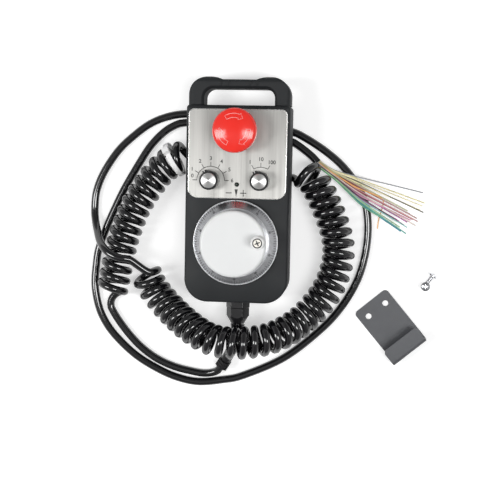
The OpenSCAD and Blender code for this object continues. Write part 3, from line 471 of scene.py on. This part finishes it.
def brushed(name, colour, rough, streaks, across, dark):
    """Metal with fine drawn lines. They set its colour and roughness, and their way its gloss."""
    material, shader, tree = finish(name, colour, rough, 1.0, Anisotropic=across)
    value, way = streaks(tree)
    tree.links.new(spread(tree, value, rough - 0.05, rough + 0.06), shader.inputs["Roughness"])
    dull = tuple(c * dark for c in colour)
    tree.links.new(tint(tree, value, dull, colour), shader.inputs["Base Color"])
    relief(tree, shader, value, 0.000004, 0.5)
    tree.links.new(way, shader.inputs["Tangent"])
    return material


# %% The two kinds of drawn line
def straight_lines(tree):
    """Lines along Y, of a millimetre or less, in bands some millimetres wide."""
    fine = grain(tree, 900, 3, (1, 0.015, 1))
    broad = grain(tree, 110, 2, (1, 0.05, 1))
    fine_share, broad_share = 0.45, 0.55
    mixed = calc(tree, "MULTIPLY_ADD", fine, fine_share, calc(tree, "MULTIPLY", broad, broad_share))
    crosswise = add(tree, "ShaderNodeCombineXYZ", X=1, Y=0, Z=0)
    return mixed, crosswise.outputs["Vector"]


def spun_rings(middle):
    """Rings round an upright axis, as a lathe tool leaves them."""
    def rings(tree):
        place = add(tree, "ShaderNodeTexCoord").outputs["Object"]
        away = calc(tree, "SUBTRACT", place, middle, kind="ShaderNodeVectorMath")
        flat = calc(tree, "MULTIPLY", away, (1, 1, 0), kind="ShaderNodeVectorMath")
        radius = add(tree, "ShaderNodeVectorMath", operation="LENGTH")
        tree.links.new(flat, radius.inputs[0])
        noise = add(tree, "ShaderNodeTexNoise", noise_dimensions="1D", Scale=2400, Detail=2)
        tree.links.new(radius.outputs["Value"], noise.inputs["W"])
        return noise.outputs["Fac"], flat
    return rings


# %% Finishes of the pieces
# Colour and roughness, then, where they aren't the usual ones, the grains in a metre, their height,
# how far the roughness wanders, how much paler the patches are, and the rounding.
plastics = {
    "handset_black": ((0.0115, 0.013, 0.0145), 0.6, 2200, 0.00003, 0.05, 1.25, 0.0008),
    "seal_rubber": ((0.02, 0.02, 0.021), 0.7),
    "circuit_green": ((0.02, 0.12, 0.05), 0.4),
    "terminal_green": ((0.03, 0.22, 0.08), 0.45),
    "lamp_lens": ((0.016, 0.026, 0.019), 0.3, 400, 0.000002),
    "control_black": ((0.012, 0.012, 0.014), 0.38),
    "stop_red": ((0.86, 0.032, 0.022), 0.17, 160, 0.000002, 0.02, 1.06),
    "contact_cream": ((0.62, 0.6, 0.52), 0.45),
    "knob_black": ((0.01, 0.01, 0.011), 0.3),
    "encoder_grey": ((0.02, 0.021, 0.023), 0.4),
    "dial_white": ((0.77, 0.78, 0.78), 0.36, 1200, 0.00001, 0.05, 1.02),
    "finger_grey": ((0.86, 0.86, 0.85), 0.26, 1200, 0.00001, 0.05, 1.03),
    "gland_nylon": ((0.01, 0.01, 0.011), 0.24),
    "cord_jacket": ((0.004, 0.004, 0.005), 0.12, 700, 0.000004, 0.03),
    "core_insulation": ((0.5, 0.5, 0.46), 0.35),
    "tie_nylon": ((0.8, 0.8, 0.8), 0.4),
    "bracket_grey": ((0.075, 0.078, 0.085), 0.46, 1400, 0.00003),
    # The black ink also draws painted shade round the finger knob's screw and in its slot.
    "ink_and_shade_black": ((0.02, 0.02, 0.021), 0.5, 3000, 0.000004),
    "arrow_pink": ((0.86, 0.5, 0.5), 0.4, 1500, 0.000004),
    "pointer_white": ((0.85, 0.85, 0.84), 0.4)}
metals = {
    "plain_steel": ((0.5, 0.51, 0.53), 0.34),
    "spring_steel": ((0.45, 0.46, 0.48), 0.25),
    "brass": ((0.6, 0.45, 0.2), 0.3),
    "spun_aluminium": ((0.78, 0.79, 0.8), 0.26),
    "turned_steel": ((0.6, 0.61, 0.63), 0.3),
    "scale_clear": ((0.78, 0.79, 0.82), 0.22, 1200, 0.000002, 0.03),
    "rim_silver": ((0.9, 0.91, 0.93), 0.3),
    "screw_zinc": ((0.72, 0.73, 0.76), 0.22),
    "screw_bright": ((0.9, 0.87, 0.8), 0.42),
    # The plate's edge strip is paler metal than the plate: a painted highlight on its rounded edge.
    "plate_edge_highlight": ((0.9, 0.9, 0.88), 0.3)}
for name, values in plastics.items():
    moulded(name, *values)
for name, values in metals.items():
    turned(name, *values)
brushed("brushed_plate", (0.41, 0.405, 0.388), 0.32, straight_lines, 0.6, 0.78)
for name, gloss in (("cord_jacket", 0.9), ("handset_black", 0.35)):
    shader = finishes[name].node_tree.nodes["Principled BSDF"]
    shader.inputs["Specular IOR Level"].default_value = gloss

# %% Every piece gets its finish
left_xy = (-24.8, 22.5)
right_xy = (22.4, 22.5)


def dress(obj, material):
    obj.data.materials.clear()
    obj.data.materials.append(material)


for part in frame["record"]["subparts"]:
    dress(nodes[part["node"]], finishes[part["material_slot"]])
dress(nodes["finger_pin"], finishes["screw_bright"])
dress(cord, finishes["cord_jacket"])
for (core, _), colour in zip(cores, core_colours):
    dress(core, moulded(core.name, colour, 0.35))
for side, middle in (("left", left_xy), ("right", right_xy)):
    rings = spun_rings(spot(*middle))
    cap = brushed(f"spun_cap_{side}", (0.86, 0.86, 0.85), 0.42, rings, 0.9, 0.92)
    dress(nodes[f"selector_cap_{side}"], cap)
print("Made", len(finishes), "finishes.")

# %% [markdown]
# ## Rounds and edges on the machined pieces
# The machined pieces arrive as loose triangles. A small node group merges their corners and shades
# them smooth wherever two faces meet at less than 32 degrees, so a round looks round and an edge
# stays an edge. Nothing real has a perfectly sharp edge: a fine bevel on the pieces in view catches
# the light.

# %% Smooth shading by angle, and fine bevels
edge_angle = math.radians(32)
edge_widths = {
    "face_plate": 0.45, "carry_handle": 0.5, "rear_shell": 0.4, "selector_knob_left": 0.2,
    "selector_knob_right": 0.2, "hook_bracket": 0.5, "gland_dome_nut": 0.4, "gland_body": 0.4,
    "dial_rim": 0.25, "protector_collar": 0.3}


def smoothing_group(limit):
    group = bpy.data.node_groups.new("smooth_by_angle", "GeometryNodeTree")
    for way in ("INPUT", "OUTPUT"):
        group.interface.new_socket("Geometry", in_out=way, socket_type="NodeSocketGeometry")
    start, end = group.nodes.new("NodeGroupInput"), group.nodes.new("NodeGroupOutput")
    merge = group.nodes.new("GeometryNodeMergeByDistance")
    merge.inputs["Distance"].default_value = 0.002 * mm
    smooth = group.nodes.new("GeometryNodeSetShadeSmooth")
    angle = group.nodes.new("GeometryNodeInputMeshEdgeAngle")
    compare = group.nodes.new("FunctionNodeCompare")
    compare.operation = "GREATER_THAN"
    compare.inputs["B"].default_value = limit
    crease = group.nodes.new("GeometryNodeSetShadeSmooth")
    crease.domain = "EDGE"
    crease.inputs["Shade Smooth"].default_value = False
    group.links.new(start.outputs[0], merge.inputs["Geometry"])
    group.links.new(merge.outputs["Geometry"], smooth.inputs["Geometry"])
    group.links.new(smooth.outputs["Geometry"], crease.inputs["Geometry"])
    group.links.new(angle.outputs["Unsigned Angle"], compare.inputs["A"])
    group.links.new(compare.outputs["Result"], crease.inputs["Selection"])
    group.links.new(crease.outputs["Geometry"], end.inputs[0])
    return group


smoothing = smoothing_group(edge_angle)
for name, obj in nodes.items():
    modifier = obj.modifiers.new("smooth", "NODES")
    modifier.node_group = smoothing
    if name in edge_widths:
        bevel = obj.modifiers.new("edges", "BEVEL")
        bevel.width = edge_widths[name] * mm
        bevel.segments = 2
        bevel.angle_limit = edge_angle
        bevel.harden_normals = True
print("Smoothed", len(nodes), "pieces and bevelled", len(edge_widths))

# %% [markdown]
# ## Printing on the plate
# The legends are screen printed: a film of black ink on the steel. A flat print would need a
# texture, so each line is a thin bead of ink that is half sunk in the surface, and each numeral is
# a raised slip.

# %% Helpers for ink
plate_top = 51.4
ink_and_shade_black = finishes["ink_and_shade_black"]


def around(middle, radius, degrees, z):
    a = math.radians(degrees)
    return (middle[0] + radius * math.cos(a), middle[1] + radius * math.sin(a), z)


def settle(obj, body, material):
    """Gives a new piece its finish and the body that it rides on."""
    dress(obj, material)
    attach(obj, body)


def bead_lines(name, strokes, width, body, material=ink_and_shade_black):
    """Thin beads along strokes, for print and for painted highlight and shade.
    Their points are millimetres from the middle of the handset.
    """
    lines = [[spot(*place) for place in stroke] for stroke in strokes]
    settle(tubes(name, lines, width * mm, 1), body, material)


def numeral(text, size, matrix):
    """One number as a thin slip, set in place by a matrix."""
    select_only()
    bpy.ops.object.text_add(location=(0, 0, 0))
    obj = bpy.context.active_object
    obj.data.body = text
    obj.data.size = size * mm
    obj.data.align_x = "CENTER"
    obj.data.align_y = "CENTER"
    obj.data.extrude = 0.05 * mm
    obj.data.offset = 0.1 * mm
    bpy.ops.object.convert(target="MESH")
    obj = bpy.context.active_object
    obj.data.transform(matrix)
    return obj


def ink_numbers(name, slips, body):
    """Joins numerals to one piece."""
    select_only(*slips)
    bpy.ops.object.join()
    obj = bpy.context.active_object
    obj.name = name
    settle(obj, body, ink_and_shade_black)


# %% Lines of the selectors' legends
arc_r, tick_r = 13.1, 17.2
left_stops = [180 - 30 * k for k in range(7)]
right_stops = [120, 90, 60]


def arc(middle, first, last):
    steps = max(2, round(abs(last - first) / 6))
    return [around(middle, arc_r, first + (last - first) * k / steps, plate_top)
            for k in range(steps + 1)]


strokes = [arc(left_xy, 180, 0), arc(right_xy, 120, 60)]
for middle, stops in ((left_xy, left_stops), (right_xy, right_stops)):
    strokes += [[around(middle, r, a, plate_top) for r in (arc_r, tick_r)] for a in stops]
bead_lines("selector_legend", strokes, 0.6, "handset")

# %% Numbers of the selectors
# The zero has no room at the end of its line, which runs level, so it stands above it.
label_r, label_size = 20.4, 4.9
zero_place = (left_xy[0] - 17.4, 26.3, plate_top)
slips = []
for middle, stops, words in ((left_xy, left_stops, "0123456"),
                             (right_xy, right_stops, ("1", "10", "100"))):
    for a, word in zip(stops, words):
        place = zero_place if word == "0" else around(middle, label_r, a, plate_top)
        slips.append(numeral(word, label_size, Matrix.Translation(spot(*place))))
ink_numbers("selector_numbers", slips, "handset")

# %% Signs above the dial
sign_y, plus_x, arm = 11, 6.3, 3.1
bead_lines("direction_signs", [
    [(-10.2, sign_y, plate_top), (-4.6, sign_y, plate_top)],
    [(3.4, sign_y, plate_top), (9.2, sign_y, plate_top)],
    [(plus_x, sign_y - arm, plate_top), (plus_x, sign_y + arm, plate_top)]], 0.8, "handset")

# %% The index arrow, a flat wedge whose point is drawn out towards the dial
point_y = spot(0, 7.4).y
select_only()
bpy.ops.mesh.primitive_cone_add(vertices=3, radius1=1.85 * mm, radius2=1.75 * mm, depth=0.12 * mm,
                                location=spot(-0.4, 13.6, plate_top), rotation=(0, 0, math.pi))
arrow = bpy.context.active_object
arrow.name = "index_arrow"
bpy.ops.object.transform_apply(location=True, rotation=True, scale=True)
lowest = min(v.co.y for v in arrow.data.vertices)
for v in arrow.data.vertices:
    if v.co.y < lowest + 0.2 * mm:
        v.co.y = point_y
settle(arrow, "handset", ink_and_shade_black)

# %% [markdown]
# ## Painted edge highlight, pointers and the screw of the finger knob
# A rounded strip of paler metal runs round the plate's edge: a painted highlight for the light that
# the rounded edge catches. Each knob has a white line in its pointer. The finger knob turns on a
# screw; its cross slot and the gap round its head are drawn black, as painted shade.

# %% Painted highlight on the plate's edge
plate_x, plate_low, plate_high = 46.0, 6.0, 89.0
low_r, high_r = 9.0, 5.0
edge_z = plate_top - 0.3


def corner(x, y, radius, first):
    """A quarter turn in ten steps."""
    return [around((x, y), radius, first + 9 * k, edge_z) for k in range(11)]


border = (corner(plate_x - high_r, plate_high - high_r, high_r, 0)
          + corner(high_r - plate_x, plate_high - high_r, high_r, 90)
          + corner(low_r - plate_x, plate_low + low_r, low_r, 180)
          + corner(plate_x - low_r, plate_low + low_r, low_r, 270))
# The strip is paler metal than the plate: a painted highlight along its rounded edge.
bead_lines("plate_edge_highlight", [border + border[:1]], 0.9, "handset", finishes["plate_edge_highlight"])

# %% Pointer lines
pointer_way, pointer_z = 120, 59.6
for side, middle in (("left", left_xy), ("right", right_xy)):
    pointer = [around(middle, r, pointer_way, pointer_z) for r in (8.9, 10.5)]
    bead_lines(f"pointer_line_{side}", [pointer], 1.1, f"{side}_knob", finishes["pointer_white"])

# %% Screw of the finger knob, with painted shade in its recess and cross slot
finger_low, finger_high = (1000 * (Vector(end) - centre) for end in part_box("finger_knob"))
finger_xy = tuple(((finger_low + finger_high) / 2)[:2])
shade_ring_r, shade_ring_z = 4.05, finger_high.z - 0.25
slot_reach, slot_z = 2.6, finger_high.z - 0.75
# Painted shade: a black ring in the gap round the screw head, and a black cross in its slot.
shade_ring = [around(finger_xy, shade_ring_r, 15 * k, shade_ring_z) for k in range(25)]
cross = [[around(finger_xy, r, a, slot_z) for r in (-slot_reach, slot_reach)] for a in (20, 110)]
bead_lines("finger_recess_shade", [shade_ring], 1.15, "finger_grip")
bead_lines("finger_slot_shade", cross, 1.1, "finger_grip")

# %% [markdown]
# ## The dial's scale
# A hundred lines stand on a cone round the dial, with a number at each tenth. A loop works out one
# line for each step, along the slope of the cone, and the longer ones mark fives and tens.

# %% Scale
dial_xy = (0, -35.4)
foot_r, foot_z = 39.0, 54.0
crest_r, crest_z = 32.5, 58.6
slope = (crest_z - foot_z) / (foot_r - crest_r)


def on_cone(radius, degrees):
    return around(dial_xy, radius, degrees, foot_z + (foot_r - radius) * slope)


divisions = 100
outer_end, tens_end, fives_end, ones_end = 38.6, 35.6, 36.1, 36.7
lines = []
for k in range(divisions):
    inner_end = tens_end if k % 10 == 0 else fives_end if k % 5 == 0 else ones_end
    lines.append([on_cone(r, 90 - 360 * k / divisions) for r in (inner_end, outer_end)])
bead_lines("dial_lines", lines, 0.62, "dial")

# %% Numbers of the scale, and the mark at zero
number_r, number_size = 34.2, 2.5
tilt = math.atan(slope)
slips = []
for k in range(10):
    a = 90 - 36 * k
    place = (Matrix.Translation(spot(*on_cone(number_r, a)))
             @ Matrix.Rotation(math.radians(a - 90), 4, "Z") @ Matrix.Rotation(-tilt, 4, "X"))
    slips.append(numeral(str(10 * k), number_size, place))
ink_numbers("dial_numbers", slips, "dial")
bead_lines("zero_mark", [[around(dial_xy, 38.4, 90, 54.5), around(dial_xy, 39.9, 90, 54.62)]], 0.9,
          "dial")

# %% [markdown]
# ## Arrows on the stop button
# Three outlined arrows on the dome say which way to twist the head. Their lines are worked out on a
# flat ring and then lifted onto the dome, whose height at a radius is known from its sphere.

# %% Arrows
stop_xy = (0, 68.9)
dome_r = 54.0
head_foot, dome_drop = 66.8, 38.399
dome_middle = head_foot - dome_drop


def on_dome(radius, degrees):
    above_middle = math.sqrt(dome_r ** 2 - radius ** 2)
    return around(stop_xy, radius, degrees, dome_middle + above_middle + 0.05)


def arrow_outline(tail, tip, inner=11.4, outer=15.2, head=16.0, flare=1.4):
    """A closed outline that runs clockwise from its tail to its tip, in degrees."""
    neck = tip + head
    bends = 8
    shaft = [tail + (neck - tail) * k / bends for k in range(bends + 1)]
    middle = (inner + outer) / 2
    path = [(inner, a) for a in shaft]
    path += [(inner - flare, neck), (middle, tip), (outer + flare, neck)]
    path += [(outer, a) for a in reversed(shaft)] + [(inner, tail)]
    return [on_dome(radius, a) for radius, a in path]


bead_lines("twist_arrows", [arrow_outline(124 + turn, 52 + turn) for turn in (0, 120, 240)], 0.42,
          "stop_head", finishes["arrow_pink"])

# %% [markdown]
# ## The return spring
# Inside the handset a coil spring pushes the stop button back out. It is wound here as one wire,
# with a flat turn at each end.

# %% Spring
spring_low, spring_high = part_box("estop_spring")
wire = 1.3 * mm
spring_turns, spring_steps = 7, 24
spring_r = (spring_high.x - spring_low.x - wire) / 2
first_z, last_z = spring_low.z + wire / 2, spring_high.z - wire / 2
middle = (spring_low + spring_high) / 2
winding = []
for k in range(spring_turns * spring_steps + 1):
    turns_done = k / spring_steps
    rise = min(1, max(0, (turns_done - 1) / (spring_turns - 2)))
    a = 2 * math.pi * turns_done
    winding.append(Vector((middle.x + spring_r * math.cos(a), middle.y + spring_r * math.sin(a),
                           first_z + (last_z - first_z) * rise)))
spring = tubes("stop_return_spring", [winding], wire, 2)
settle(spring, "handset", finishes["spring_steel"])
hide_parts("estop_spring")
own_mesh(spring)

# %% [markdown]
# ## Floor and light
# Two soft boxes overhead, one on each side, give every round black part its pair of highlights,
# and a pale room fills the shadows. The floor adds its own white only for what the camera, a
# reflection or clear plastic sees, so that the object's shadow stays on it.

# %% Floor
own_white = 0.5
select_only()
bpy.ops.mesh.primitive_plane_add(size=6, location=(0, 0, 0))
floor = bpy.context.active_object
floor.name = "floor"
sheet, shader, tree = finish("floor_sheet", (0.72, 0.72, 0.72), 0.9)
rays = add(tree, "ShaderNodeLightPath").outputs
seen = calc(tree, "MAXIMUM", rays["Is Camera Ray"], rays["Is Glossy Ray"])
seen = calc(tree, "MAXIMUM", seen, rays["Is Transmission Ray"])
shader.inputs["Emission Color"].default_value = (1, 1, 1, 1)
tree.links.new(calc(tree, "MULTIPLY", seen, own_white), shader.inputs["Emission Strength"])
dress(floor, sheet)

# %% Lights
def soft_box(name, place, width, length, watts):
    lamp = bpy.data.lights.new(name, "AREA")
    lamp.shape = "RECTANGLE"
    lamp.size, lamp.size_y, lamp.energy = width, length, watts
    obj = new_object(name, lamp)
    obj.location = place
    obj.rotation_euler = (-Vector(place)).to_track_quat("-Z", "Y").to_euler()


soft_box("left_box", (-1.02, -0.1, 1.3), 0.42, 0.75, 12.0)
soft_box("right_box", (0.58, -0.11, 1.5), 0.4, 0.75, 12.0)
soft_box("plate_glow", (-0.35, -0.42, 2.2), 0.9, 0.9, 0.9)

# %% Room
# It is palest at its left and right.
room_light, side_light, mirror_light = 0.14, 0.36, 0.06
world = bpy.data.worlds.new("room")
bpy.context.scene.world = world
world.use_nodes = True
room = world.node_tree
sides = add(room, "ShaderNodeSeparateXYZ")
room.links.new(add(room, "ShaderNodeTexCoord").outputs["Generated"], sides.inputs[0])
square = calc(room, "POWER", sides.outputs["X"], 2.0)
wall = calc(room, "MULTIPLY_ADD", square, side_light, room_light)
rays = add(room, "ShaderNodeLightPath").outputs
shine = calc(room, "MAXIMUM", rays["Is Glossy Ray"], rays["Is Transmission Ray"])
mirrored = calc(room, "MULTIPLY_ADD", shine, mirror_light, wall)
brightness = calc(room, "MAXIMUM", mirrored, rays["Is Camera Ray"])
background = room.nodes["Background"].inputs
room.links.new(brightness, background["Strength"])
background["Color"].default_value = (1, 1, 1, 1)
bpy.context.scene.view_settings.view_transform = "Standard"
